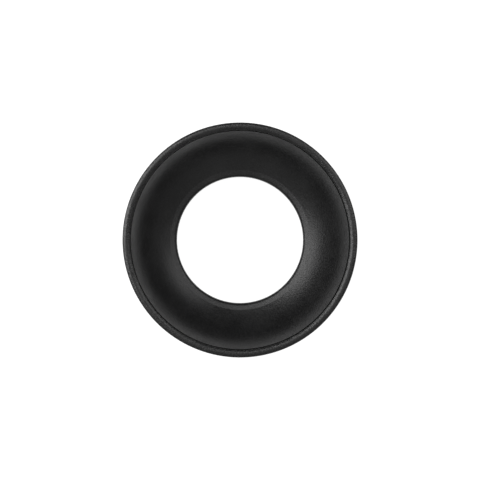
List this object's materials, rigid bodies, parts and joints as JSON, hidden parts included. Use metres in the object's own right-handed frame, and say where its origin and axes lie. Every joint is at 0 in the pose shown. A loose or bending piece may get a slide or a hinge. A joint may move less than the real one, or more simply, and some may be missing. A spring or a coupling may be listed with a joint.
{
  "type": "fence insulator",
  "caption": "Ring-shaped corner insulator for an electric fence: a fixed hub with flared faces and a large tie hole, and a grooved outer ring that turns on it under the wire.",
  "frame": {"origin": "centre of the tie hole, half way through the insulator's thickness", "axes": "+Z along the ring's axis, out of the pictured front face; +X towards hub_screw_1"},
  "size_m": [0.07, 0.07, 0.034],
  "materials": {
    "hub_polymer": "black glass-filled polymer with a fine spark-eroded texture",
    "ring_polymer": "black glass-filled polymer with a fine spark-eroded texture",
    "bush_acetal": "natural acetal, turned",
    "washer_acetal": "natural acetal, stamped",
    "seal_rubber": "black nitrile rubber",
    "screw_steel": "stainless steel"
  },
  "bodies": {
    "hub": {"front_bowl": "hub_polymer", "rear_bowl": "hub_polymer", "front_thrust_washer": "washer_acetal", "rear_thrust_washer": "washer_acetal", "front_seal": "seal_rubber", "rear_seal": "seal_rubber", "hub_screw_1": "screw_steel", "hub_screw_2": "screw_steel", "hub_screw_3": "screw_steel", "hub_screw_4": "screw_steel", "hub_screw_5": "screw_steel", "hub_screw_6": "screw_steel"},
    "roller": {"groove_ring": "ring_polymer", "bearing_bush": "bush_acetal"}
  },
  "joints": [
    {"name": "groove_ring_spin", "type": "hinge", "parent": "hub", "child": "roller", "pos_m": [0, 0, 0], "axis": [0, 0, 1], "continuous": true}
  ]
}
